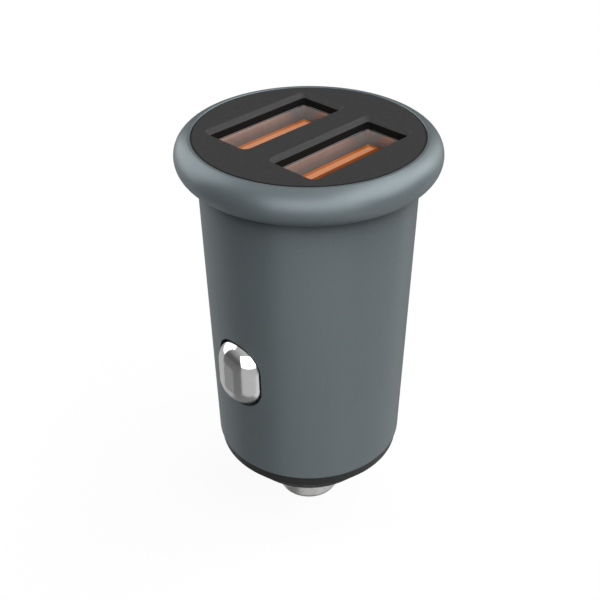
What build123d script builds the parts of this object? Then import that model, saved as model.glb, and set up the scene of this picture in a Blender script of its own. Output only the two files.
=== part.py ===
from build123d import *
import math
import os

os.makedirs("parts", exist_ok=True)

# The charger stands on its axis, with the face plate up and the centre tip down.
# The origin is on the axis, in the plane where the flange seats on the socket's rim.
# X runs along the long side of both ports, and the two ground contacts face +X and -X.

# Flange and face plate
bead_radius = 1.81
bead_centre_radius = 10.635
face_recess = 0.06
plate_radius = 10.75
plate_thickness = 1.6
plate_gap = 0.05
lip_chamfer = 0.05
plate_edge_chamfer = 0.08

# Tapered body and its bores
body_length = 30.8
body_top_radius = 10.46
body_bottom_radius = 9.875
body_edge_chamfer = 0.155
crease_fillet = 0.6
upper_bore_radius = 9.6
lower_bore_radius = 9.15
bore_play = 0.1
snap_rise = 0.15
snap_height = 0.6
snap_play = 0.1

# Snap legs under the face plate
plate_legs = 4
leg_thickness = 0.7
leg_arc = 34
leg_reach = 1.7
leg_barb = 0.3

# Ports and their metal shells
port_spacing = 8.44
port_length = 12.5
port_width = 4.9
port_corner = 0.3
bevel_width = 0.42
bevel_depth = 0.45
shell_inner_length = 12.38
shell_inner_width = 4.78
shell_sheet = 0.3
shell_corner = 0.4
shell_rim = 0.1
shell_depth = 1.12
shell_length = 12.84
shell_play = 0.1
shell_leg_width = 1.2
shell_leg_reach = 1.8
shell_leg_shift = 1.0
finger_spacing = 6.0
finger_width = 1.6
finger_length = 4.6
finger_gap = 0.3
finger_bow = 0.4
finger_crown = 3.2
finger_exit_slope = 3
finger_root_depth = 7.6

# Tongue and contact strips of a port
tongue_length = 11.1
tongue_thickness = 1.84
tongue_offset = 0.83
tongue_depth = 2.07
tongue_chamfer = 0.35
tongue_base_height = 1.8
tongue_play = 0.05
contact_pitches = (-3.5, -1.0, 1.0, 3.5)
contact_width = 1.0
contact_sheet = 0.25
contact_setback = 0.95
contact_hump = 0.55
contact_hump_length = 2.6
contact_tail_width = 0.6
contact_tail_reach = 1.0
contact_bend = 0.6
groove_play = 0.05
groove_depth = 0.35

# Circuit boards
board_thickness = 1.0
board_play = 0.05
board_bite = 0.25
main_board_tab = 2.4
pin_hole_play = 0.12
lead_wire = 0.45

# Insulating half shells round the main board
carrier_length = 14.6
carrier_wall = 1.0
pocket_wall = 0.8
pocket_floor = 5.5
pocket_play = 0.3

# Ground contacts in the body's side
contact_drop = 18.84
dome_width = 5.5
dome_height = 7.3
dome_corner = 2.6
dome_edge = 2.1
dome_reach = 11.25
dome_sheet = 0.5
slot_play = 0.15
retainer_width = 7.8
retainer_height = 9.6
retainer_corner = 1.2
retainer_play = 0.05
ground_plate_sheet = 0.3
ground_plate_border = 0.5
ground_leg_width = 1.5
ground_leg_drop = 3.86

# Nose cap
nose_top_radius = 9.72
nose_rim_radius = 9.65
nose_rim_height = 1.04
nose_end_radius = 7.33
nose_height = 3.87
nose_core_inner = 5.9
nose_core_outer = 8.3
nose_ribs = 6
nose_rib_width = 0.9
nose_shoulder = 1.47

# Centre tip
tip_radius = 3.4
tip_projection = 5.82
tip_edge = 0.6
tip_collar_radius = 4.2
tip_collar_height = 1.0
tip_bore_radius = 2.3
tip_bore_floor = 3.3
tip_play = 0.05
collar_play = 0.1
terminal_radius = 5.1
terminal_sheet = 0.5
terminal_play = 0.1
terminal_blade_width = 3.0
terminal_blade_height = 2.2
terminal_blade_sheet = 0.4

# Springs
tip_spring_radius = 1.8
tip_spring_wire = 0.45
tip_spring_turns = 8
side_spring_radius = 1.6
side_spring_wire = 0.4
side_spring_turns = 5
spring_play = 0.02

# Parts on the boards
inductor_side = 6.6
inductor_height = 3.0
inductor_corner = 0.7
inductor_lift = 0.25
inductor_rise = 1.4
can_radius = 2.0
can_length = 6.6
can_bead_depth = 0.2
can_across = 3.9
can_rise = 5.76
can_lead_pitch = 1.5
chip_length = 4.9
chip_width = 3.9
chip_height = 1.5
chip_lift = 0.1
chip_row = 3.9
chip_lead_pairs = 4
chip_lead_pitch = 1.27
chip_lead_width = 0.42
chip_lead_sheet = 0.2
chip_lead_reach = 1.05
lead_shoulder = 0.4
lead_ankle = 0.55
port_chip_length = 2.9
port_chip_width = 1.6
port_chip_height = 1.1
port_chip_lead_pairs = 3
port_chip_lead_pitch = 0.95
port_chip_lead_reach = 0.6
block_length = 3.5
block_width = 2.8
block_height = 1.9
block_cap = 0.8
diode_length = 4.3
diode_width = 2.6
diode_height = 2.1
diode_cap = 0.9
fuse_length = 3.2
fuse_width = 1.6
fuse_height = 0.65
ceramic_length = 2.0
ceramic_width = 1.25
ceramic_height = 0.85
ceramic_columns = 3
ceramic_rows = 2
ceramic_spacing = 1.7
ceramic_pitch = 2.3
end_cap_length = 0.4
end_cap_sheet = 0.08
side_row = 5.3
lower_row = 2.3

# Levels and radii that follow from the values above
face_level = 2 * bead_radius - face_recess
plate_underside = face_level - plate_thickness
recess_radius = plate_radius + plate_gap
shell_top = face_level - shell_depth
shell_bottom = shell_top - shell_length
port_board_bottom = shell_bottom - board_thickness
carrier_bottom = port_board_bottom - carrier_length
body_bottom = -body_length
nose_end = body_bottom - nose_height
tip_end = nose_end - tip_projection
collar_bottom = nose_end + nose_shoulder
collar_top = collar_bottom + tip_collar_height
terminal_top = carrier_bottom - terminal_play
terminal_bottom = terminal_top - terminal_sheet
contact_level = -contact_drop
shell_outer_length = shell_inner_length + 2 * shell_sheet
shell_outer_width = shell_inner_width + 2 * shell_sheet
tongue_top = face_level - tongue_depth
tongue_near_side = tongue_offset - tongue_thickness / 2
groove_floor = tongue_near_side + groove_depth
carrier_radius = lower_bore_radius - bore_play
carrier_inner_radius = carrier_radius - carrier_wall
main_board_width = 2 * (carrier_inner_radius + board_bite)
board_face = board_thickness / 2
ports = (("a", -port_spacing / 2), ("b", port_spacing / 2))
sides = (("left", -1), ("right", 1))


# Housing: one turned and anodised tube with a rounded flange and two contact slots
with BuildPart() as housing:
    with BuildSketch(Plane.XZ) as housing_section:
        with BuildLine():
            Polyline(
                (0, bead_radius),
                (body_top_radius, bead_radius),
                (body_top_radius, 0),
                (body_bottom_radius, body_bottom + body_edge_chamfer),
                (body_bottom_radius - body_edge_chamfer, body_bottom),
                (0, body_bottom),
                close=True,
            )
        make_face()
        with Locations((bead_centre_radius, bead_radius)):
            Circle(bead_radius)
        crease = housing_section.vertices().sort_by_distance((body_top_radius, 0))[0]
        fillet(crease, crease_fillet)
        with Locations((0, face_level)):
            Rectangle(2 * bead_centre_radius, bead_radius, align=(Align.MIN, Align.MIN), mode=Mode.SUBTRACT)
        with Locations((0, plate_underside)):
            Rectangle(recess_radius, 2 * bead_radius, align=(Align.MIN, Align.MIN), mode=Mode.SUBTRACT)
        with Locations((0, port_board_bottom)):
            Rectangle(
                upper_bore_radius,
                2 * bead_radius - port_board_bottom,
                align=(Align.MIN, Align.MIN),
                mode=Mode.SUBTRACT,
            )
        with Locations((0, body_bottom)):
            Rectangle(lower_bore_radius, body_length, align=(Align.MIN, Align.MIN), mode=Mode.SUBTRACT)
        with Locations((0, plate_underside - leg_reach)):
            Rectangle(
                upper_bore_radius + leg_barb,
                snap_height + 2 * snap_play,
                align=(Align.MIN, Align.CENTER),
                mode=Mode.SUBTRACT,
            )
        with Locations((0, (body_bottom + carrier_bottom) / 2)):
            Rectangle(
                lower_bore_radius + snap_rise,
                snap_height + 2 * snap_play,
                align=(Align.MIN, Align.CENTER),
                mode=Mode.SUBTRACT,
            )
    revolve(axis=Axis.Z)
    lip = housing.edges().filter_by(GeomType.CIRCLE).group_by(Axis.Z)[-1].sort_by(SortBy.RADIUS)[0]
    chamfer(lip, lip_chamfer)
    with BuildSketch(Plane.YZ):
        with Locations((0, contact_level)):
            RectangleRounded(dome_width + 2 * slot_play, dome_height + 2 * slot_play, dome_corner + slot_play)
    extrude(amount=2 * body_top_radius, both=True, mode=Mode.SUBTRACT)
housing.part.label = "housing"
export_step(housing.part, "parts/housing.step")


# Face plate: a moulded disc with two bevelled ports, shell pockets and four snap legs
with BuildPart() as face_plate:
    with BuildSketch(Plane.XY.offset(plate_underside)):
        Circle(plate_radius)
    extrude(amount=plate_thickness)
    chamfer(face_plate.edges().group_by(Axis.Z)[-1], plate_edge_chamfer)
    with BuildSketch(Plane.XY.offset(face_level)):
        with GridLocations(0, port_spacing, 1, 2):
            RectangleRounded(port_length, port_width, port_corner)
    extrude(amount=-plate_thickness, mode=Mode.SUBTRACT)
    port_edges = face_plate.faces().sort_by(Axis.Z)[-1].inner_wires().edges()
    chamfer(port_edges, bevel_depth, bevel_width)
    with BuildSketch(Plane.XY.offset(plate_underside)):
        with GridLocations(0, port_spacing, 1, 2):
            RectangleRounded(
                shell_outer_length + 2 * shell_play,
                shell_outer_width + 2 * shell_play,
                shell_corner + shell_sheet + shell_play,
            )
    extrude(amount=shell_top - plate_underside, mode=Mode.SUBTRACT)
    for leg in range(plate_legs):
        with BuildSketch(Plane.XZ.rotated((0, 0, 360 * leg / plate_legs - leg_arc / 2))):
            with BuildLine():
                leg_radius = upper_bore_radius - bore_play
                barb_radius = upper_bore_radius + leg_barb - snap_play
                barb_middle = plate_underside - leg_reach
                Polyline(
                    (leg_radius - leg_thickness, plate_underside),
                    (leg_radius, plate_underside),
                    (leg_radius, barb_middle + snap_height / 2),
                    (barb_radius, barb_middle + snap_height / 2),
                    (leg_radius, barb_middle - snap_height / 2),
                    (leg_radius - leg_thickness, barb_middle - snap_height / 2),
                    close=True,
                )
            make_face()
        revolve(axis=Axis.Z, revolution_arc=leg_arc)
face_plate.part.label = "face_plate"
export_step(face_plate.part, "parts/face_plate.step")


# Port shells: folded steel boxes with two spring fingers in each long wall and two board legs
for port, port_middle in ports:
    with BuildPart() as usb_shell:
        with BuildSketch(Plane.XY.offset(shell_bottom)):
            with Locations((0, port_middle)):
                RectangleRounded(shell_outer_length, shell_outer_width, shell_corner + shell_sheet)
                RectangleRounded(shell_inner_length, shell_inner_width, shell_corner, mode=Mode.SUBTRACT)
        extrude(amount=shell_length)
        fillet(usb_shell.faces().sort_by(Axis.Z)[-1].edges(), shell_rim)
        finger_root = shell_top - finger_root_depth
        with BuildSketch(Plane.XZ.offset(-port_middle)):
            with Locations((0, finger_root + finger_length / 2)):
                with GridLocations(finger_spacing, 0, 2, 1):
                    Rectangle(finger_width + 2 * finger_gap, finger_length)
        extrude(amount=shell_outer_width, both=True, mode=Mode.SUBTRACT)
        for finger_x in (-finger_spacing / 2, finger_spacing / 2):
            for wall in (-1, 1):
                wall_middle = port_middle + wall * (shell_inner_width + shell_sheet) / 2
                with BuildSketch(Plane.YZ.offset(finger_x)):
                    with BuildLine() as finger_line:
                        Spline(
                            (wall_middle, finger_root),
                            (wall_middle - wall * finger_bow, finger_root + finger_crown),
                            (wall_middle - wall * finger_bow / 2, finger_root + finger_length - finger_gap),
                            tangents=((0, 1), (wall, finger_exit_slope)),
                        )
                    trace(line_width=shell_sheet)
                extrude(amount=finger_width / 2, both=True)
        with BuildSketch(Plane.XY.offset(shell_bottom)):
            for leg_side in (-1, 1):
                leg_y = port_middle - shell_leg_shift * port_middle / abs(port_middle)
                with Locations((leg_side * (shell_outer_length - shell_sheet) / 2, leg_y)):
                    Rectangle(shell_sheet, shell_leg_width)
        extrude(amount=-shell_leg_reach)
    usb_shell.part.label = f"usb_shell_{port}"
    export_step(usb_shell.part, f"parts/usb_shell_{port}.step")


# Port tongues: orange moulded insulators whose base closes the shell's back
for port, port_middle in ports:
    with BuildPart() as usb_tongue:
        with BuildSketch(Plane.XY.offset(shell_bottom)):
            with Locations((0, port_middle)):
                RectangleRounded(
                    shell_inner_length - 2 * tongue_play,
                    shell_inner_width - 2 * tongue_play,
                    shell_corner - tongue_play,
                )
        extrude(amount=tongue_base_height)
        with BuildSketch(Plane.XY.offset(shell_bottom)):
            with Locations((0, port_middle + tongue_offset)):
                Rectangle(tongue_length, tongue_thickness)
        extrude(amount=tongue_top - shell_bottom)
        end_edges = usb_tongue.faces().sort_by(Axis.Z)[-1].edges()
        near_edge = end_edges.sort_by(Axis.Y)[0]
        chamfer(end_edges - [near_edge], tongue_chamfer)
        groove_width = contact_width + 2 * groove_play
        groove_top = tongue_top - contact_setback + groove_play
        with BuildSketch(Plane.XY.offset(groove_top)):
            for contact_x in contact_pitches:
                with Locations((contact_x, port_middle + groove_floor)):
                    Rectangle(groove_width, groove_depth, align=(Align.CENTER, Align.MAX))
        extrude(amount=shell_bottom - groove_top, mode=Mode.SUBTRACT)
    usb_tongue.part.label = f"usb_tongue_{port}"
    export_step(usb_tongue.part, f"parts/usb_tongue_{port}.step")


# Contact strips: four sprung copper strips in each tongue, with tails through the port board
for port, port_middle in ports:
    for number, contact_x in enumerate(contact_pitches, start=1):
        with BuildPart() as usb_contact:
            strip_middle = port_middle + groove_floor - contact_sheet / 2
            strip_top = tongue_top - contact_setback
            with BuildSketch(Plane.YZ.offset(contact_x)):
                with BuildLine() as strip_line:
                    FilletPolyline(
                        (strip_middle, shell_bottom),
                        (strip_middle, strip_top - 2 * contact_hump_length),
                        (strip_middle - contact_hump, strip_top - contact_hump_length / 2),
                        (strip_middle, strip_top),
                        radius=contact_bend,
                    )
                trace(line_width=contact_sheet)
            extrude(amount=contact_width / 2, both=True)
            with BuildSketch(Plane.XY.offset(shell_bottom)):
                with Locations((contact_x, strip_middle)):
                    Rectangle(contact_tail_width, contact_sheet)
            extrude(amount=-(board_thickness + contact_tail_reach))
        usb_contact.part.label = f"usb_contact_{port}_{number}"
        export_step(usb_contact.part, f"parts/usb_contact_{port}_{number}.step")


# Port board: a round board on the bore's step, drilled for the shells, strips and main board
with BuildPart() as port_board:
    with BuildSketch(Plane.XY.offset(port_board_bottom)):
        Circle(upper_bore_radius - bore_play)
        Rectangle(board_thickness + 2 * board_play, main_board_tab + 2 * board_play, mode=Mode.SUBTRACT)
        for port, port_middle in ports:
            pin_radius = contact_tail_width / 2 + pin_hole_play
            for contact_x in contact_pitches:
                with Locations((contact_x, port_middle + groove_floor - contact_sheet / 2)):
                    Circle(pin_radius, mode=Mode.SUBTRACT)
            leg_y = port_middle - shell_leg_shift * port_middle / abs(port_middle)
            for leg_side in (-1, 1):
                with Locations((leg_side * (shell_outer_length - shell_sheet) / 2, leg_y)):
                    Rectangle(
                        shell_sheet + 2 * pin_hole_play,
                        shell_leg_width + 2 * pin_hole_play,
                        mode=Mode.SUBTRACT,
                    )
    extrude(amount=board_thickness)
port_board.part.label = "port_board"
export_step(port_board.part, "parts/port_board.step")


# Main board: stands between the half shells, with a tab through the port board
with BuildPart() as main_board:
    with BuildSketch(Plane.YZ):
        with Locations((0, carrier_bottom)):
            Rectangle(main_board_width, carrier_length, align=(Align.CENTER, Align.MIN))
        with Locations((0, port_board_bottom)):
            Rectangle(main_board_tab, board_thickness, align=(Align.CENTER, Align.MIN))
    extrude(amount=board_face, both=True)
main_board.part.label = "main_board"
export_step(main_board.part, "parts/main_board.step")


# Half shells: insulating walls round the main board, each with a pocket for a ground contact
pocket_width = retainer_width + 2 * pocket_play
pocket_height = retainer_height + 2 * pocket_play
for name, side in sides:
    with BuildPart() as carrier:
        with BuildSketch(Plane.YZ.offset(side * (pocket_floor - pocket_wall))):
            with Locations((0, contact_level)):
                Rectangle(pocket_width + 2 * pocket_wall, pocket_height + 2 * pocket_wall)
        extrude(amount=side * carrier_radius)
        with BuildSketch(Plane.XY.offset(carrier_bottom)):
            Circle(carrier_radius)
        extrude(amount=carrier_length, mode=Mode.INTERSECT)
        with BuildSketch(Plane.XY.offset(carrier_bottom)):
            Circle(carrier_radius)
            Circle(carrier_inner_radius, mode=Mode.SUBTRACT)
            Rectangle(
                2 * carrier_radius,
                2 * carrier_radius,
                align=(Align.MAX if side > 0 else Align.MIN, Align.CENTER),
                mode=Mode.SUBTRACT,
            )
        extrude(amount=carrier_length)
        with BuildSketch(Plane.YZ.offset(side * pocket_floor)):
            with Locations((0, contact_level)):
                Rectangle(pocket_width, pocket_height)
        extrude(amount=side * carrier_radius, mode=Mode.SUBTRACT)
        with BuildSketch(Plane.YZ):
            with Locations((0, contact_level - ground_leg_drop)):
                Rectangle(ground_leg_width + 2 * board_play, ground_plate_sheet + 2 * board_play)
        extrude(amount=side * pocket_floor, mode=Mode.SUBTRACT)
        with BuildSketch(Plane.XY.offset(carrier_bottom)):
            Rectangle(board_thickness + 2 * board_play, main_board_width + 2 * board_play)
        extrude(amount=carrier_length, mode=Mode.SUBTRACT)
    carrier.part.label = f"carrier_{name}"
    export_step(carrier.part, f"parts/carrier_{name}.step")


# Ground contacts: pressed domes with a curved border that stops behind the housing wall
retainer_radius = lower_bore_radius - retainer_play
for name, side in sides:
    with BuildPart() as dome:
        with BuildSketch(Plane.YZ.offset(side * pocket_floor)):
            with Locations((0, contact_level)):
                RectangleRounded(dome_width, dome_height, dome_corner)
        extrude(amount=side * (dome_reach - pocket_floor))
        outward_faces = dome.faces().sort_by(Axis((0, 0, 0), (side, 0, 0)))
        fillet(outward_faces[-1].edges(), dome_edge)
        outward_faces = dome.faces().sort_by(Axis((0, 0, 0), (side, 0, 0)))
        offset(amount=-dome_sheet, openings=outward_faces[0])
        with BuildSketch(Plane.XY.offset(contact_level - retainer_height)):
            Circle(retainer_radius - dome_sheet)
        extrude(amount=2 * retainer_height, mode=Mode.SUBTRACT)
    with BuildPart() as side_contact:
        with BuildSketch(Plane.XY.offset(contact_level - retainer_height / 2)):
            Circle(retainer_radius)
            Circle(retainer_radius - dome_sheet, mode=Mode.SUBTRACT)
        extrude(amount=retainer_height)
        with BuildSketch(Plane.YZ):
            with Locations((0, contact_level)):
                RectangleRounded(retainer_width, retainer_height, retainer_corner)
        extrude(amount=side * retainer_radius, mode=Mode.INTERSECT)
        with BuildSketch(Plane.YZ):
            with Locations((0, contact_level)):
                RectangleRounded(
                    dome_width - 2 * dome_sheet,
                    dome_height - 2 * dome_sheet,
                    dome_corner - dome_sheet,
                )
        extrude(amount=side * retainer_radius, mode=Mode.SUBTRACT)
        add(dome.part)
    side_contact.part.label = f"side_contact_{name}"
    export_step(side_contact.part, f"parts/side_contact_{name}.step")


# Ground plates: spring seats on the pocket floors, each with a leg to the main board
for name, side in sides:
    with BuildPart() as ground_plate:
        with BuildSketch(Plane.YZ.offset(side * pocket_floor)):
            with Locations((0, contact_level)):
                RectangleRounded(
                    pocket_width - 2 * ground_plate_border,
                    pocket_height - 2 * ground_plate_border,
                    ground_plate_border,
                )
        extrude(amount=side * ground_plate_sheet)
        with BuildSketch(Plane.YZ.offset(side * board_face)):
            with Locations((0, contact_level - ground_leg_drop)):
                Rectangle(ground_leg_width, ground_plate_sheet)
        extrude(amount=side * (pocket_floor - board_face))
    ground_plate.part.label = f"ground_plate_{name}"
    export_step(ground_plate.part, f"parts/ground_plate_{name}.step")


# Nose cap: a moulded cone with a cored spigot, and the guide bore of the centre tip
with BuildPart() as nose_cap:
    spigot_radius = lower_bore_radius - bore_play
    snap_level = (body_bottom + carrier_bottom) / 2
    with BuildSketch(Plane.XZ):
        with BuildLine():
            Polyline(
                (tip_radius + tip_play, nose_end),
                (nose_end_radius, nose_end),
                (nose_rim_radius, body_bottom - nose_rim_height),
                (nose_top_radius, body_bottom),
                (spigot_radius, body_bottom),
                (spigot_radius, snap_level - snap_height / 2),
                (spigot_radius + snap_rise, snap_level),
                (spigot_radius, snap_level + snap_height / 2),
                (spigot_radius, carrier_bottom),
                (terminal_radius + terminal_play, carrier_bottom),
                (terminal_radius + terminal_play, terminal_bottom),
                (tip_collar_radius + collar_play, terminal_bottom),
                (tip_collar_radius + collar_play, collar_bottom),
                (tip_radius + tip_play, collar_bottom),
                close=True,
            )
        make_face()
    revolve(axis=Axis.Z)
    with BuildSketch(Plane.XY.offset(carrier_bottom)):
        Circle(nose_core_outer)
        Circle(nose_core_inner, mode=Mode.SUBTRACT)
        with PolarLocations(0, nose_ribs):
            Rectangle(
                nose_core_outer, nose_rib_width, align=(Align.MIN, Align.CENTER), mode=Mode.SUBTRACT
            )
    extrude(amount=body_bottom - carrier_bottom, mode=Mode.SUBTRACT)
nose_cap.part.label = "nose_cap"
export_step(nose_cap.part, "parts/nose_cap.step")


# Centre tip: a turned plunger, bored for its spring and stopped by a collar
with BuildPart() as centre_tip:
    with BuildSketch(Plane.XZ) as tip_section:
        with BuildLine():
            Polyline(
                (0, tip_end),
                (tip_radius, tip_end),
                (tip_radius, collar_bottom),
                (tip_collar_radius, collar_bottom),
                (tip_collar_radius, collar_top),
                (tip_bore_radius, collar_top),
                (tip_bore_radius, tip_end + tip_bore_floor),
                (0, tip_end + tip_bore_floor),
                close=True,
            )
        make_face()
        fillet(tip_section.vertices().sort_by_distance((tip_radius, tip_end))[0], tip_edge)
    revolve(axis=Axis.Z)
centre_tip.part.label = "centre_tip"
export_step(centre_tip.part, "parts/centre_tip.step")


# Tip terminal: a disc that caps the tip's bore, with a blade against the main board
with BuildPart() as tip_terminal:
    with BuildSketch(Plane.XY.offset(terminal_bottom)):
        Circle(terminal_radius)
    extrude(amount=terminal_sheet)
    with BuildSketch(Plane.XY.offset(terminal_top)):
        with Locations((board_face, 0)):
            Rectangle(terminal_blade_sheet, terminal_blade_width, align=(Align.MIN, Align.CENTER))
    extrude(amount=terminal_blade_height)
tip_terminal.part.label = "tip_terminal"
export_step(tip_terminal.part, "parts/tip_terminal.step")


def coil_spring(foot, direction, length, radius, wire, turns):
    """A compression coil with ground ends, standing on foot."""
    with BuildPart() as spring:
        with BuildLine() as coil:
            Helix(length / turns, length, radius, center=foot, direction=direction)
        with BuildSketch(Plane(origin=coil.line @ 0, z_dir=coil.line % 0)):
            Circle(wire / 2)
        sweep(path=coil.line, is_frenet=True)
        with BuildSketch(Plane(origin=foot, z_dir=direction)):
            Circle(radius + wire)
        extrude(amount=length, mode=Mode.INTERSECT)
    return spring.part


# Tip spring: stands in the tip's bore and presses on the terminal
tip_spring_foot = tip_end + tip_bore_floor
tip_spring = coil_spring(
    (0, 0, tip_spring_foot),
    (0, 0, 1),
    terminal_bottom - tip_spring_foot,
    tip_spring_radius,
    tip_spring_wire,
    tip_spring_turns,
)
tip_spring.label = "tip_spring"
export_step(tip_spring, "parts/tip_spring.step")


# Side springs: stand on the ground plates and press on the rounded inner edge of each dome
dome_inner_edge = dome_edge - dome_sheet
dome_inner_flat = dome_width / 2 - dome_edge
spring_past_flat = max(side_spring_radius + side_spring_wire / 2 - dome_inner_flat, 0)
spring_drop = dome_inner_edge - math.sqrt(dome_inner_edge**2 - spring_past_flat**2)
side_spring_foot = pocket_floor + ground_plate_sheet
side_spring_end = dome_reach - dome_sheet - spring_drop - spring_play
for name, side in sides:
    side_spring = coil_spring(
        (side * side_spring_foot, 0, contact_level),
        (side, 0, 0),
        side_spring_end - side_spring_foot,
        side_spring_radius,
        side_spring_wire,
        side_spring_turns,
    )
    side_spring.label = f"side_spring_{name}"
    export_step(side_spring, f"parts/side_spring_{name}.step")


def board_seat(side, across, level):
    """A plane on a face of the main board, with its local x axis pointing up."""
    return Plane(origin=(side * board_face, across, level), x_dir=(0, 0, 1), z_dir=(side, 0, 0))


def capped_block(seat, length, width, height, cap_length):
    """A surface part with a moulded body and two thin metal end caps."""
    with BuildPart() as block:
        with BuildSketch(seat.offset(end_cap_sheet)):
            Rectangle(length - 2 * end_cap_sheet, width - 2 * end_cap_sheet)
        extrude(amount=height - 2 * end_cap_sheet)
        with BuildSketch(seat):
            with GridLocations(length - cap_length, 0, 2, 1):
                Rectangle(cap_length, width)
        extrude(amount=height)
    return block.part


def winged_chip(seat, length, width, height, lead_pitch, lead_pairs, lead_reach):
    """A moulded chip with bent leads along its two long sides."""
    with BuildPart() as chip:
        with BuildSketch(seat.offset(chip_lift)):
            Rectangle(length, width)
        extrude(amount=height)
        lead_root = chip_lift + height / 2
        lead_foot = chip_lead_sheet / 2
        for pair in range(lead_pairs):
            lead_place = (pair - (lead_pairs - 1) / 2) * lead_pitch
            lead_plane = Plane(seat.origin, x_dir=seat.y_dir, z_dir=seat.x_dir).offset(lead_place)
            for wing in (-1, 1):
                with BuildSketch(lead_plane):
                    with BuildLine():
                        FilletPolyline(
                            (wing * (width / 2 - chip_lead_sheet), lead_root),
                            (wing * (width / 2 + lead_shoulder * lead_reach), lead_root),
                            (wing * (width / 2 + lead_ankle * lead_reach), lead_foot),
                            (wing * (width / 2 + lead_reach), lead_foot),
                            radius=chip_lead_sheet / 2,
                        )
                    trace(line_width=chip_lead_sheet)
                extrude(amount=chip_lead_width / 2, both=True)
    return chip.part


# Power inductor: a moulded block on the +X face, with two flat end terminals
with BuildPart() as power_inductor:
    inductor_seat = board_seat(1, 0, contact_level + inductor_rise)
    with BuildSketch(inductor_seat.offset(inductor_lift)):
        RectangleRounded(inductor_side, inductor_side, inductor_corner)
    extrude(amount=inductor_height)
    chamfer(power_inductor.edges().group_by(Axis.X)[-1], inductor_lift)
    with BuildSketch(inductor_seat):
        with GridLocations(inductor_side - 2 * inductor_corner, 0, 2, 1):
            Rectangle(2 * inductor_corner, inductor_side / 2)
    extrude(amount=inductor_lift)
power_inductor.part.label = "power_inductor"
export_step(power_inductor.part, "parts/power_inductor.step")


# Input capacitor: a rolled can lying on the -X face, with two leads bent to the board
with BuildPart() as input_capacitor:
    can_x = -board_face - can_radius - board_play
    can_foot = carrier_bottom + can_rise
    with BuildSketch(Plane.XZ.offset(-can_across)):
        with BuildLine():
            can_groove = can_foot + 2 * can_bead_depth
            Polyline(
                (can_x, can_foot),
                (can_x - can_radius, can_foot),
                (can_x - can_radius, can_groove),
                (can_x - can_radius + can_bead_depth, can_groove + can_bead_depth),
                (can_x - can_radius, can_groove + 2 * can_bead_depth),
                (can_x - can_radius, can_foot + can_length - can_bead_depth),
                (can_x - can_radius + can_bead_depth, can_foot + can_length),
                (can_x, can_foot + can_length),
                close=True,
            )
        make_face()
    revolve(axis=Axis((can_x, can_across, 0), (0, 0, 1)))
    for lead_side in (-1, 1):
        with BuildLine(Plane.XZ.offset(-can_across - lead_side * can_lead_pitch / 2)) as can_lead:
            FilletPolyline(
                (can_x, can_foot + can_bead_depth),
                (can_x, can_foot - 2 * lead_wire),
                (-board_face, can_foot - 2 * lead_wire),
                radius=lead_wire,
            )
        with BuildSketch(Plane(origin=can_lead.line @ 0, z_dir=can_lead.line % 0)):
            Circle(lead_wire / 2)
        sweep(path=can_lead.line)
input_capacitor.part.label = "input_capacitor"
export_step(input_capacitor.part, "parts/input_capacitor.step")


# Output capacitor: a moulded block beside the inductor
output_capacitor = capped_block(
    board_seat(1, side_row, contact_level + inductor_rise), block_length, block_width, block_height, block_cap
)
output_capacitor.label = "output_capacitor"
export_step(output_capacitor, "parts/output_capacitor.step")


# Diode: a moulded block on the inductor's other side
diode = capped_block(
    board_seat(1, -side_row, contact_level + inductor_rise), diode_length, diode_width, diode_height, diode_cap
)
diode.label = "diode"
export_step(diode, "parts/diode.step")


# Fuse: a thin ceramic strip beside the tip terminal's blade
fuse = capped_block(
    board_seat(1, -side_row, carrier_bottom + lower_row), fuse_length, fuse_width, fuse_height, end_cap_length
)
fuse.label = "fuse"
export_step(fuse, "parts/fuse.step")


# Converter chip: the step-down controller on the -X face
converter_chip = winged_chip(
    board_seat(-1, -chip_row, contact_level + inductor_rise),
    chip_length,
    chip_width,
    chip_height,
    chip_lead_pitch,
    chip_lead_pairs,
    chip_lead_reach,
)
converter_chip.label = "converter_chip"
export_step(converter_chip, "parts/converter_chip.step")


# Port chip: the small charge controller below the converter chip
port_chip = winged_chip(
    board_seat(-1, -chip_row, carrier_bottom + lower_row),
    port_chip_length,
    port_chip_width,
    port_chip_height,
    port_chip_lead_pitch,
    port_chip_lead_pairs,
    port_chip_lead_reach,
)
port_chip.label = "port_chip"
export_step(port_chip, "parts/port_chip.step")


# Ceramic capacitors: two rows of small blocks under the input capacitor
with BuildPart() as ceramic_capacitors:
    for column in range(ceramic_columns):
        for row in range(ceramic_rows):
            block_across = chip_row + (column - (ceramic_columns - 1) / 2) * ceramic_spacing
            block_level = carrier_bottom + lower_row + (row - (ceramic_rows - 1) / 2) * ceramic_pitch
            add(
                capped_block(
                    board_seat(-1, block_across, block_level),
                    ceramic_length,
                    ceramic_width,
                    ceramic_height,
                    end_cap_length,
                )
            )
ceramic_capacitors.part.label = "ceramic_capacitors"
export_step(ceramic_capacitors.part, "parts/ceramic_capacitors.step")
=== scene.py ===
import math

import bpy
from mathutils import Matrix, Vector


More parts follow.
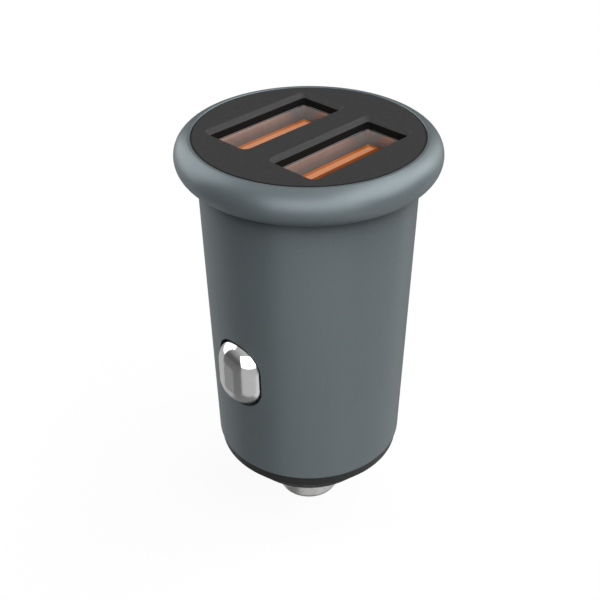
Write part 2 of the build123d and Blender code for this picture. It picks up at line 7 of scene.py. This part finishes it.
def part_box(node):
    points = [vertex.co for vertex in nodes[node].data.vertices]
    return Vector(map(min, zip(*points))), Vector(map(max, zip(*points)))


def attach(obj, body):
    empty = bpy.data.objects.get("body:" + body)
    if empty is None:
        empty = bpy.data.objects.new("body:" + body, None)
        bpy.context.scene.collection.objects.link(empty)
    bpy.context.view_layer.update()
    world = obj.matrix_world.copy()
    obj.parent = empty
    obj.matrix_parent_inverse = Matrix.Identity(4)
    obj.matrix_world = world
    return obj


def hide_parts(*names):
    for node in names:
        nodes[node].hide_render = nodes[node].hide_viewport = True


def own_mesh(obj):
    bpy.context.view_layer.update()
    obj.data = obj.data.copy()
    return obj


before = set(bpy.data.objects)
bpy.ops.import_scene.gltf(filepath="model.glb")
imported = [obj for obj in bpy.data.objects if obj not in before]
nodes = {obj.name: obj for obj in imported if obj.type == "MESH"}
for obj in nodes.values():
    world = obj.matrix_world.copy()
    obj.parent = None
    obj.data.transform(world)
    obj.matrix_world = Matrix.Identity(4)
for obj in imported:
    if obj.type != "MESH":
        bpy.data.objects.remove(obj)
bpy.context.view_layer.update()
MM = 0.001

# The photograph's camera in the charger's own frame, in millimetres and degrees
CAMERA_PLACE = Vector((-56.66, -54.66, 39.05)) * MM
CAMERA_HEADING = 45.38
CAMERA_PITCH = 34.50
CAMERA_ROLL = -0.42
CAMERA_LENS = 55.86
CAMERA_SENSOR = 36.0

# Nearest and farthest distance that the camera sees, in metres
NEAREST_SEEN = 0.005
FARTHEST_SEEN = 10

# Floor, in metres, with a faint shadow beside the charger that fades to pure white farther out
FLOOR_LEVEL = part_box("centre_tip")[0].z
FLOOR_RADIUS = 0.9
FLOOR_CORNERS = 128
FLOOR_WHITE = 1.0
FLOOR_SHADOW_SHARE = 0.1
FLOOR_FADE_START = 0.10
FLOOR_FADE_END = 0.35

# Greys of the floor, in the part with the shadow and in the dull and glossy parts that the charger sees
FLOOR_PALE = 0.8
FLOOR_DULL = 0.12
FLOOR_GLOSS = 0.25
FLOOR_GLOSS_SHARE = 0.7
FLOOR_GLOSS_ROUGHNESS = 0.22

# Light of the sky, by height from 0 at the horizon to 1 straight up
SKY_START = 0.3
SKY_TOP = 1.0
SKY_DIM = 0.03
SKY_BRIGHT = 0.50

# How much of the white background shows in reflections
REFLECTED_BACKGROUND = 0.08

# Lamps, in metres
LAMP_DISTANCE = 0.6
LAMP_AIM = Vector((0, 0, -0.01))

# Values between which a noise texture mostly lies
NOISE_LOW = 0.3
NOISE_HIGH = 0.7

# Lumps in the colour and roughness, counted in grains, and how far the roughness varies
PLASTIC_COLOUR_LUMP = 2
PLASTIC_ROUGHNESS_LUMP = 6
PLASTIC_ROUGHNESS_SPAN = 0.04
METAL_COLOUR_LUMP = 8
METAL_ROUGHNESS_SHARE = 0.15

# Sockets of a mix node that mixes colours
MIX_SHARE = 0
MIX_FIRST = 6
MIX_SECOND = 7
MIX_RESULT = 2

# Turn that lays the stretched highlights of a turned surface along its axis
QUARTER_TURN = 0.25

# Painted shade in folds: open share of the surroundings at which it is darkest and at which it ends, and
# the rays that find it
FOLD_SHADE_DARKEST = 0.80
FOLD_SHADE_END = 0.965
FOLD_SHADE_SAMPLES = 12

# How far a face looks up, from 0 on a wall to 1 on a flat top, where walls, bevels and tops begin and end
WALL_END = 0.3
BEVEL_START = 0.55
BEVEL_END = 0.8
TOP_START = 0.95
TONGUE_EDGE_END = 0.85
TONGUE_TOP_START = 0.97

# Shaded rim of the face plate, in millimetres, and the part of its width in which the shade sets in
PLATE_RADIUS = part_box("face_plate")[1].x / MM
RIM_SHADE_WIDTH = 0.14
RIM_SHADE_ONSET = 1 / 3

# Painted shade along the upper edge of the port shells, in millimetres, and what its colour is multiplied
# by
SHELL_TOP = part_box("usb_shell_a")[1].z / MM
SHELL_EDGE_DEPTH = 0.10
SHELL_EDGE_BLUR = 0.01
SHELL_EDGE_SHADE = 0.12

# Painted pale reflection on the flat end of a port's tongue, in millimetres, repeated from one port to the
# next
PORT_SPACING = (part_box("usb_shell_b")[0].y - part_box("usb_shell_a")[0].y) / MM
TONGUE_REFLECTION_MIDDLE = 4.88
TONGUE_REFLECTION_WIDTH = 0.70
TONGUE_REFLECTION_LENGTH = 9.7
TONGUE_REFLECTION_BLUR = 0.02

# Painted shade on the tongue's near side: what its colour is multiplied by there
TONGUE_NEAR_SHADE = 0.5

# Springs, in millimetres
TIP_SPRING_FIXED_END = -26.6
TIP_SPRING_MOVING_END = -37.19
TIP_SPRING_RADIUS = 1.8
TIP_SPRING_WIRE = 0.45
TIP_SPRING_TURNS = 8
SIDE_SPRING_FIXED_END = 5.8
SIDE_SPRING_MOVING_END = 10.24
SIDE_SPRING_LEVEL = -18.84
SIDE_SPRING_RADIUS = 1.6
SIDE_SPRING_WIRE = 0.4
SIDE_SPRING_TURNS = 5
COIL_STEPS_PER_TURN = 28
WIRE_SIDES = 10


def camera_axes():
    """The camera's right, up and back directions."""
    heading = math.radians(CAMERA_HEADING)
    pitch = math.radians(CAMERA_PITCH)
    roll = math.radians(CAMERA_ROLL)
    forward = Vector((
        math.sin(heading) * math.cos(pitch),
        math.cos(heading) * math.cos(pitch),
        -math.sin(pitch),
    ))
    right = Vector((math.cos(heading), -math.sin(heading), 0))
    down = forward.cross(right)
    turned_right = math.cos(roll) * right - math.sin(roll) * down
    turned_down = math.sin(roll) * right + math.cos(roll) * down
    return turned_right, -turned_down, -forward


def make_camera():
    """The photograph's camera."""
    data = bpy.data.cameras.new("camera")
    data.lens = CAMERA_LENS
    data.sensor_width = CAMERA_SENSOR
    data.sensor_fit = "HORIZONTAL"
    data.clip_start = NEAREST_SEEN
    data.clip_end = FARTHEST_SEEN
    camera = bpy.data.objects.new("camera", data)
    bpy.context.scene.collection.objects.link(camera)
    turning = Matrix(camera_axes()).transposed().to_4x4()
    camera.matrix_world = Matrix.Translation(CAMERA_PLACE) @ turning
    bpy.context.scene.camera = camera


def srgb(red, green, blue):
    """Linear colour from screen values, which run from 0 to 255."""
    def linear(value):
        share = value / 255
        return share / 12.92 if share <= 0.04045 else ((share + 0.055) / 1.055) ** 2.4
    return (linear(red), linear(green), linear(blue), 1.0)


def grey(share):
    """Linear grey, from 0 for black to 1 for white."""
    return (share, share, share, 1)


class NodeTree:
    """Short calls that build a tree of shader nodes."""

    def __init__(self, tree):
        self.tree = tree

    def feed(self, target, value):
        """Links a socket to target, or writes a plain value into it."""
        if isinstance(value, bpy.types.NodeSocket):
            self.tree.links.new(value, target)
        else:
            target.default_value = value

    def node(self, kind, inputs=None, **settings):
        """A new node with its settings, and with a socket or a plain value in each input that is named."""
        made = self.tree.nodes.new(kind)
        for key, value in settings.items():
            setattr(made, key, value)
        for key, value in (inputs or {}).items():
            self.feed(made.inputs[key], value)
        return made

    def calculate(self, operation, *values):
        """Mathematics on sockets and numbers."""
        return self.node("ShaderNodeMath", dict(enumerate(values)), operation=operation).outputs[0]

    def spread(self, value, start, end, low=0.0, high=1.0):
        """low while value is on start's side, high once it is past end, and an even change between."""
        inputs = {"Value": value, "From Min": start, "From Max": end, "To Min": low, "To Max": high}
        return self.node("ShaderNodeMapRange", inputs).outputs["Result"]

    def parts(self, vector):
        """The X, Y and Z parts of a vector."""
        return self.node("ShaderNodeSeparateXYZ", {"Vector": vector}).outputs

    def shader(self, kind, inputs):
        """A shader or light with its inputs."""
        return self.node(kind, inputs).outputs[0]

    def mixed_shaders(self, share, first, second):
        """The first shader where share is 0 and the second where it is 1."""
        return self.shader("ShaderNodeMixShader", dict(enumerate((share, first, second))))

    def mixed_colours(self, share, first, second):
        """The first colour where share is 0 and the second where it is 1."""
        inputs = {MIX_SHARE: share, MIX_FIRST: first, MIX_SECOND: second}
        return self.node("ShaderNodeMix", inputs, data_type="RGBA").outputs[MIX_RESULT]

    def background_share(self):
        """1 where the background is seen directly or through something, and a little in reflections."""
        rays = self.node("ShaderNodeLightPath").outputs
        mirrored = self.calculate("MULTIPLY", rays["Is Glossy Ray"], REFLECTED_BACKGROUND)
        seen = self.calculate("ADD", mirrored, rays["Is Camera Ray"])
        return self.calculate("MAXIMUM", seen, rays["Is Transmission Ray"])


class Surface(NodeTree):
    """A node material under construction, with the steps that the finishes here share."""

    def __init__(self, name):
        self.material = bpy.data.materials.new(name)
        self.material.use_nodes = True
        super().__init__(self.material.node_tree)
        self.principled = self.tree.nodes["Principled BSDF"]
        self.place = self.node("ShaderNodeTexCoord").outputs["Object"]

    def set(self, name, value):
        """Links a socket to one input of the material, or writes a plain value into it."""
        self.feed(self.principled.inputs[name], value)

    def noise(self, size_mm, detail=3.0, finer=(1, 1, 1)):
        """Noise with lumps of about size_mm, and so many times finer along X, Y and Z."""
        place = self.node("ShaderNodeMapping", {"Vector": self.place, "Scale": finer}).outputs["Vector"]
        inputs = {"Vector": place, "Scale": 1 / (size_mm * MM), "Detail": detail}
        return self.node("ShaderNodeTexNoise", inputs).outputs["Fac"]

    def ranged(self, noise, low, high):
        """A value between low and high, driven by noise."""
        return self.spread(noise, NOISE_LOW, NOISE_HIGH, low, high)

    def colours(self, noise, dark, light):
        """Sets a colour between two tones, driven by noise."""
        self.set("Base Color", self.mixed_colours(self.ranged(noise, 0, 1), dark, light))

    def colour(self):
        """The colour as it is so far."""
        return self.principled.inputs["Base Color"].links[0].from_socket

    def tint(self, factor):
        """Multiplies the colour by factor."""
        scaled = self.node("ShaderNodeVectorMath", {0: self.colour(), "Scale": factor}, operation="SCALE")
        self.set("Base Color", scaled.outputs["Vector"])

    def paint(self, share, colour):
        """Lays a colour over the one so far where share is 1."""
        self.set("Base Color", self.mixed_colours(share, self.colour(), colour))

    def roughness(self, noise, low, high):
        """Sets a roughness between low and high, driven by noise."""
        self.set("Roughness", self.ranged(noise, low, high))

    def bump(self, height, depth_mm):
        """Raises the surface by up to depth_mm where height rises from 0 to 1."""
        inputs = {"Height": height, "Distance": depth_mm * MM}
        self.set("Normal", self.node("ShaderNodeBump", inputs).outputs["Normal"])

    def turned(self, strength):
        """Stretches the highlights along the Z axis, as fine turning marks round it do."""
        marks = self.node("ShaderNodeTangent", direction_type="RADIAL", axis="Z")
        self.set("Tangent", marks.outputs["Tangent"])
        self.set("Anisotropic", strength)
        self.set("Anisotropic Rotation", QUARTER_TURN)

    def paint_fold_shade(self, reach_mm, darkest):
        """Paints shade into the colour, multiplying it down to darkest where other walls stand within
        reach_mm.
        """
        inputs = {"Distance": reach_mm * MM}
        shelter = self.node("ShaderNodeAmbientOcclusion", inputs, samples=FOLD_SHADE_SAMPLES, only_local=True)
        self.tint(self.spread(shelter.outputs["AO"], FOLD_SHADE_DARKEST, FOLD_SHADE_END, darkest, 1.0))

    def facing_up(self):
        """1 on a flat top, 0 on an upright wall."""
        return self.parts(self.node("ShaderNodeTexCoord").outputs["Normal"])["Z"]

    def paint_slope_shade_and_light(self, wall, bevel):
        """Paints shade on upright walls and light on slopes near 45 degrees, multiplying the colour by
        wall and by bevel.
        """
        facing = self.facing_up()
        rising = self.spread(facing, WALL_END, BEVEL_START, wall, bevel)
        ending = self.spread(facing, BEVEL_END, TOP_START, 1, 1 / bevel)
        self.tint(self.calculate("MULTIPLY", rising, ending))

    def shade_rim(self, radius_mm, width_mm, darkest):
        """Paints shade in a thin ring inside a radius about the Z axis, multiplying the colour down to
        darkest.
        """
        place = self.parts(self.place)
        square = self.calculate("MULTIPLY", place["X"], place["X"])
        square = self.calculate("MULTIPLY_ADD", place["Y"], place["Y"], square)
        inner = radius_mm - width_mm
        full = inner + width_mm * RIM_SHADE_ONSET
        self.tint(self.spread(self.calculate("SQRT", square), inner * MM, full * MM, 1.0, darkest))

    def band(self, value, middle_mm, width_mm, blur_mm):
        """1 where value lies in a band about a middle, with edges blurred to both sides."""
        away = self.calculate("ABSOLUTE", self.calculate("SUBTRACT", value, middle_mm * MM))
        edge = width_mm / 2
        return self.spread(away, (edge + blur_mm) * MM, (edge - blur_mm) * MM)


def anodised_body():
    """Turned, blasted and anodised aluminium, grey-blue, with a fine even grain and painted shade in its
    folds.
    """
    surface = Surface("anodised_body")
    surface.set("Metallic", 0.55)
    surface.colours(surface.noise(0.25), (0.140, 0.169, 0.180, 1), (0.147, 0.177, 0.188, 1))
    # Painted shade where walls close in, as in the crease under the bead
    surface.paint_fold_shade(reach_mm=7.0, darkest=0.22)
    surface.roughness(surface.noise(0.4), 0.40, 0.43)
    surface.bump(surface.noise(0.06, detail=2.0), depth_mm=0.0016)
    surface.turned(0.5)
    return surface


def moulded_plastic(name, dark, light, rough, grain_mm, depth_mm, gloss=0.4):
    """Moulded plastic with a fine spark-eroded grain, which serves the boards and small parts too."""
    surface = Surface(name)
    surface.set("Specular IOR Level", gloss)
    surface.colours(surface.noise(grain_mm * PLASTIC_COLOUR_LUMP), dark, light)
    lumps = surface.noise(grain_mm * PLASTIC_ROUGHNESS_LUMP)
    surface.roughness(lumps, rough - PLASTIC_ROUGHNESS_SPAN, rough + PLASTIC_ROUGHNESS_SPAN)
    surface.bump(surface.noise(grain_mm), depth_mm)
    return surface


def face_plastic():
    """The face plate's plastic, with painted shade on upright walls and along the rim and painted light on
    bevels.
    """
    surface = moulded_plastic(
        "face_plastic", srgb(45, 45, 45), srgb(51, 51, 51),
        rough=0.55, grain_mm=0.12, depth_mm=0.004, gloss=0.1,
    )
    # Painted shade on the plate's upright walls and painted light on its bevels
    surface.paint_slope_shade_and_light(wall=0.22, bevel=1.3)
    # Painted shade in a thin ring along the plate's rim
    surface.shade_rim(PLATE_RADIUS, RIM_SHADE_WIDTH, darkest=0.25)
    return surface


def plated_metal(name, dark, light, rough, grain_mm, finer=(1, 1, 1), depth_mm=0.0006):
    """Plated or drawn metal with streaks across the axis along which its grain is finer."""
    surface = Surface(name)
    surface.set("Metallic", 1.0)
    streaks = surface.noise(grain_mm, detail=2.0, finer=finer)
    surface.colours(surface.noise(grain_mm * METAL_COLOUR_LUMP), dark, light)
    surface.roughness(streaks, rough * (1 - METAL_ROUGHNESS_SHARE), rough * (1 + METAL_ROUGHNESS_SHARE))
    surface.bump(streaks, depth_mm)
    return surface


def tip_metal():
    """Turned and plated metal of the centre tip."""
    surface = plated_metal(
        "tip_metal", (0.84, 0.83, 0.82, 1), (0.90, 0.89, 0.88, 1),
        rough=0.30, grain_mm=0.3, finer=(1, 1, 6), depth_mm=0.0002,
    )
    surface.turned(0.6)
    return surface


def shell_steel():
    """Folded and plated sheet steel, with painted shade along its upper edge round the mouth of the port.
    """
    surface = Surface("shell_steel")
    surface.set("Metallic", 0.7)
    surface.colours(surface.noise(0.8), (0.52, 0.51, 0.50, 1), (0.58, 0.57, 0.56, 1))
    # Painted shade along the shell's upper edge, down in the port's mouth
    height = surface.parts(surface.place)["Z"]
    edge = SHELL_TOP - SHELL_EDGE_DEPTH
    start = (edge - SHELL_EDGE_BLUR) * MM
    end = (edge + SHELL_EDGE_BLUR) * MM
    surface.tint(surface.spread(height, start, end, 1.0, SHELL_EDGE_SHADE))
    streaks = surface.noise(0.1, detail=2.0, finer=(1, 1, 8))
    surface.roughness(streaks, 0.13, 0.17)
    surface.bump(streaks, depth_mm=0.0006)
    return surface


def tongue_plastic():
    """Orange moulded plastic with a painted pale reflection on the flat of its end and painted shade on
    its near side.
    """
    surface = Surface("tongue_plastic")
    surface.set("IOR", 1.5)
    surface.set("Specular IOR Level", 0.25)
    surface.colours(surface.noise(1.2), srgb(162, 80, 5), srgb(168, 85, 7))
    place = surface.parts(surface.place)
    across = surface.calculate("WRAP", place["Y"], PORT_SPACING * MM, 0)
    # Painted shade on the tongue's near side, up to the near edge of the pale band
    near_edge = TONGUE_REFLECTION_MIDDLE - TONGUE_REFLECTION_WIDTH / 2
    start = (near_edge - TONGUE_REFLECTION_BLUR) * MM
    end = (near_edge + TONGUE_REFLECTION_BLUR) * MM
    surface.tint(surface.spread(across, start, end, TONGUE_NEAR_SHADE, 1.0))
    # Painted pale reflection on the flat of the tongue's end
    flat = surface.spread(surface.facing_up(), TONGUE_EDGE_END, TONGUE_TOP_START)
    long_band = surface.band(place["X"], 0, TONGUE_REFLECTION_LENGTH, TONGUE_REFLECTION_BLUR)
    flat = surface.calculate("MULTIPLY", flat, long_band)
    short_band = surface.band(across, TONGUE_REFLECTION_MIDDLE, TONGUE_REFLECTION_WIDTH, TONGUE_REFLECTION_BLUR)
    flat = surface.calculate("MULTIPLY", flat, short_band)
    surface.paint(flat, srgb(196, 131, 93))
    surface.roughness(surface.noise(0.8), 0.30, 0.34)
    surface.bump(surface.noise(0.5), depth_mm=0.0004)
    return surface


def coil(name, foot, direction, length, radius, wire, turns):
    """A coil of round wire from foot along direction, in millimetres."""
    along = Vector(direction)
    across = along.orthogonal().normalized()
    upright = along.cross(across)
    steps = turns * COIL_STEPS_PER_TURN
    points = []
    faces = []
    for step in range(steps + 1):
        share = step / steps
        turn = 2 * math.pi * turns * share
        outward = math.cos(turn) * across + math.sin(turn) * upright
        middle = Vector(foot) + (wire / 2 + (length - wire) * share) * along + radius * outward
        for spoke in range(WIRE_SIDES):
            lean = 2 * math.pi * spoke / WIRE_SIDES
            points.append((middle + wire / 2 * (math.cos(lean) * outward + math.sin(lean) * along)) * MM)
    for step in range(steps):
        for spoke in range(WIRE_SIDES):
            beside = (spoke + 1) % WIRE_SIDES
            low = step * WIRE_SIDES
            high = low + WIRE_SIDES
            faces.append((low + spoke, low + beside, high + beside, high + spoke))
    faces.append(tuple(range(WIRE_SIDES)))
    faces.append(tuple(steps * WIRE_SIDES + spoke for spoke in reversed(range(WIRE_SIDES))))
    mesh = bpy.data.meshes.new(name)
    mesh.from_pydata(points, [], faces)
    mesh.polygons.foreach_set("use_smooth", [len(face) == 4 for face in faces])
    piece = bpy.data.objects.new(name, mesh)
    bpy.context.scene.collection.objects.link(piece)
    return piece


def make_spring(surface, name, node, foot, direction, length, radius, wire, turns):
    """A coil spring, fixed to the charger, in place of the solid of that node."""
    piece = coil(name, foot, direction, length, radius, wire, turns)
    piece.data.materials.append(surface.material)
    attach(piece, "charger")
    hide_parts(node)
    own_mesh(piece)


def make_springs(surface):
    """The springs behind the tip and behind each side contact."""
    make_spring(
        surface, "tip_coil", "tip_spring",
        foot=(0, 0, TIP_SPRING_FIXED_END), direction=(0, 0, -1),
        length=TIP_SPRING_FIXED_END - TIP_SPRING_MOVING_END,
        radius=TIP_SPRING_RADIUS, wire=TIP_SPRING_WIRE, turns=TIP_SPRING_TURNS,
    )
    for side, sign in (("left", -1), ("right", 1)):
        make_spring(
            surface, f"side_{side}_coil", f"side_spring_{side}",
            foot=(sign * SIDE_SPRING_FIXED_END, 0, SIDE_SPRING_LEVEL), direction=(sign, 0, 0),
            length=SIDE_SPRING_MOVING_END - SIDE_SPRING_FIXED_END,
            radius=SIDE_SPRING_RADIUS, wire=SIDE_SPRING_WIRE, turns=SIDE_SPRING_TURNS,
        )


def assign(surface, *names):
    """Gives the named solids one finish."""
    for name in names:
        data = nodes[name].data
        data.materials.clear()
        data.materials.append(surface.material)


def dress_outside():
    """The pieces that show from outside, but for the ports."""
    assign(anodised_body(), "housing")
    assign(face_plastic(), "face_plate")
    assign(tip_metal(), "centre_tip")
    nose_plastic = moulded_plastic(
        "nose_plastic", srgb(35, 35, 36), srgb(41, 41, 42),
        rough=0.42, grain_mm=0.15, depth_mm=0.002, gloss=0.25,
    )
    assign(nose_plastic, "nose_cap")
    contact_chrome = plated_metal(
        "contact_chrome", grey(0.83), grey(0.87), rough=0.09, grain_mm=0.5, depth_mm=0.0002,
    )
    assign(contact_chrome, "side_contact_left", "side_contact_right")


def dress_ports():
    """The two ports, and the ground plates, which are of the same steel as the ports' shells."""
    contacts = [name for name in nodes if name.startswith("usb_contact")]
    assign(shell_steel(), "usb_shell_a", "usb_shell_b", "ground_plate_left", "ground_plate_right")
    assign(tongue_plastic(), "usb_tongue_a", "usb_tongue_b")
    strip_brass = plated_metal(
        "strip_brass", (0.7, 0.5, 0.2, 1), (0.76, 0.56, 0.24, 1),
        rough=0.22, grain_mm=0.08, finer=(8, 1, 1),
    )
    assign(strip_brass, *contacts)


def dress_inside():
    """The half shells, springs, terminal, boards and the parts on them."""
    inner_plastic = moulded_plastic(
        "inner_plastic", srgb(60, 60, 62), srgb(68, 68, 70), rough=0.5, grain_mm=0.2, depth_mm=0.003,
    )
    assign(inner_plastic, "carrier_left", "carrier_right")
    make_springs(plated_metal("spring_steel", grey(0.4), grey(0.46), rough=0.3, grain_mm=0.1))
    terminal_brass = plated_metal(
        "terminal_brass", (0.62, 0.45, 0.18, 1), (0.68, 0.5, 0.22, 1),
        rough=0.28, grain_mm=0.1, finer=(1, 8, 1),
    )
    assign(terminal_brass, "tip_terminal")
    board = moulded_plastic(
        "board", srgb(14, 74, 40), srgb(20, 88, 50), rough=0.35, grain_mm=0.3, depth_mm=0.004,
    )
    assign(board, "port_board", "main_board")
    ferrite = moulded_plastic(
        "ferrite", srgb(70, 70, 72), srgb(88, 88, 90), rough=0.6, grain_mm=0.15, depth_mm=0.01,
    )
    assign(ferrite, "power_inductor")
    can_aluminium = plated_metal(
        "can_aluminium", grey(0.7), grey(0.78), rough=0.3, grain_mm=0.1, finer=(1, 1, 6),
    )
    assign(can_aluminium, "input_capacitor")
    ceramic = moulded_plastic(
        "ceramic", srgb(168, 140, 112), srgb(186, 160, 130), rough=0.5, grain_mm=0.2, depth_mm=0.004,
    )
    assign(ceramic, "output_capacitor", "fuse", "ceramic_capacitors")
    chip_body = moulded_plastic(
        "chip_body", srgb(34, 34, 34), srgb(42, 42, 42), rough=0.5, grain_mm=0.1, depth_mm=0.004,
    )
    assign(chip_body, "diode", "converter_chip", "port_chip")


def make_floor():
    """A disc that is white with a very faint shadow to the camera, and dark and glossy to the charger."""
    bpy.ops.mesh.primitive_circle_add(
        vertices=FLOOR_CORNERS, radius=FLOOR_RADIUS, fill_type="NGON", location=(0, 0, FLOOR_LEVEL)
    )
    floor = bpy.context.object
    floor.name = "floor"
    material = bpy.data.materials.new("floor")
    material.use_nodes = True
    material.node_tree.nodes.clear()
    tree = NodeTree(material.node_tree)
    place = tree.node("ShaderNodeTexCoord").outputs["Object"]
    distance = tree.node("ShaderNodeVectorMath", {0: place}, operation="LENGTH").outputs["Value"]
    whiteness = tree.spread(distance, FLOOR_FADE_START, FLOOR_FADE_END, 1 - FLOOR_SHADOW_SHARE, 1.0)
    pale = tree.shader("ShaderNodeBsdfDiffuse", {"Color": grey(FLOOR_PALE)})
    white = tree.shader("ShaderNodeEmission", {"Strength": FLOOR_WHITE})
    backdrop = tree.mixed_shaders(whiteness, pale, white)
    dull = tree.shader("ShaderNodeBsdfDiffuse", {"Color": grey(FLOOR_DULL)})
    glossy = tree.shader(
        "ShaderNodeBsdfAnisotropic", {"Color": grey(FLOOR_GLOSS), "Roughness": FLOOR_GLOSS_ROUGHNESS}
    )
    studio = tree.mixed_shaders(FLOOR_GLOSS_SHARE, dull, glossy)
    surface = tree.mixed_shaders(tree.background_share(), studio, backdrop)
    tree.node("ShaderNodeOutputMaterial", {"Surface": surface})
    floor.data.materials.append(material)


def make_world():
    """White to the camera, and for light a dim studio that is brightest overhead."""
    world = bpy.data.worlds.new("studio")
    bpy.context.scene.world = world
    world.use_nodes = True
    world.node_tree.nodes.clear()
    tree = NodeTree(world.node_tree)
    height = tree.parts(tree.node("ShaderNodeTexCoord").outputs["Generated"])["Z"]
    strength = tree.spread(height, SKY_START, SKY_TOP, SKY_DIM, SKY_BRIGHT)
    studio = tree.shader("ShaderNodeBackground", {"Color": grey(1), "Strength": strength})
    white = tree.shader("ShaderNodeBackground", {"Color": grey(1)})
    surface = tree.mixed_shaders(tree.background_share(), studio, white)
    tree.node("ShaderNodeOutputWorld", {"Surface": surface})


def softbox(name, azimuth, elevation, width, height, radiance):
    """A rectangular lamp that faces the charger. Azimuth is counted from +X towards +Y, in degrees."""
    data = bpy.data.lights.new(name, "AREA")
    data.shape = "RECTANGLE"
    data.size = width
    data.size_y = height
    data.energy = radiance * math.pi * width * height
    lamp = bpy.data.objects.new(name, data)
    bpy.context.scene.collection.objects.link(lamp)
    turn = math.radians(azimuth)
    rise = math.radians(elevation)
    outward = Vector((math.cos(turn) * math.cos(rise), math.sin(turn) * math.cos(rise), math.sin(rise)))
    lamp.location = outward * LAMP_DISTANCE + LAMP_AIM
    lamp.rotation_mode = "QUATERNION"
    lamp.rotation_quaternion = outward.to_track_quat("Z", "Y")


make_camera()
dress_outside()
dress_ports()
dress_inside()
make_floor()
make_world()
softbox("front_softbox", azimuth=229, elevation=20, width=0.92, height=0.80, radiance=2.15)
softbox("left_softbox", azimuth=99, elevation=16, width=0.58, height=0.90, radiance=2.0)
softbox("key_softbox", azimuth=314, elevation=42, width=0.88, height=0.66, radiance=2.6)
softbox("rim_softbox", azimuth=355, elevation=12, width=0.36, height=0.44, radiance=1.4)

bpy.context.scene.view_settings.view_transform = "Standard"
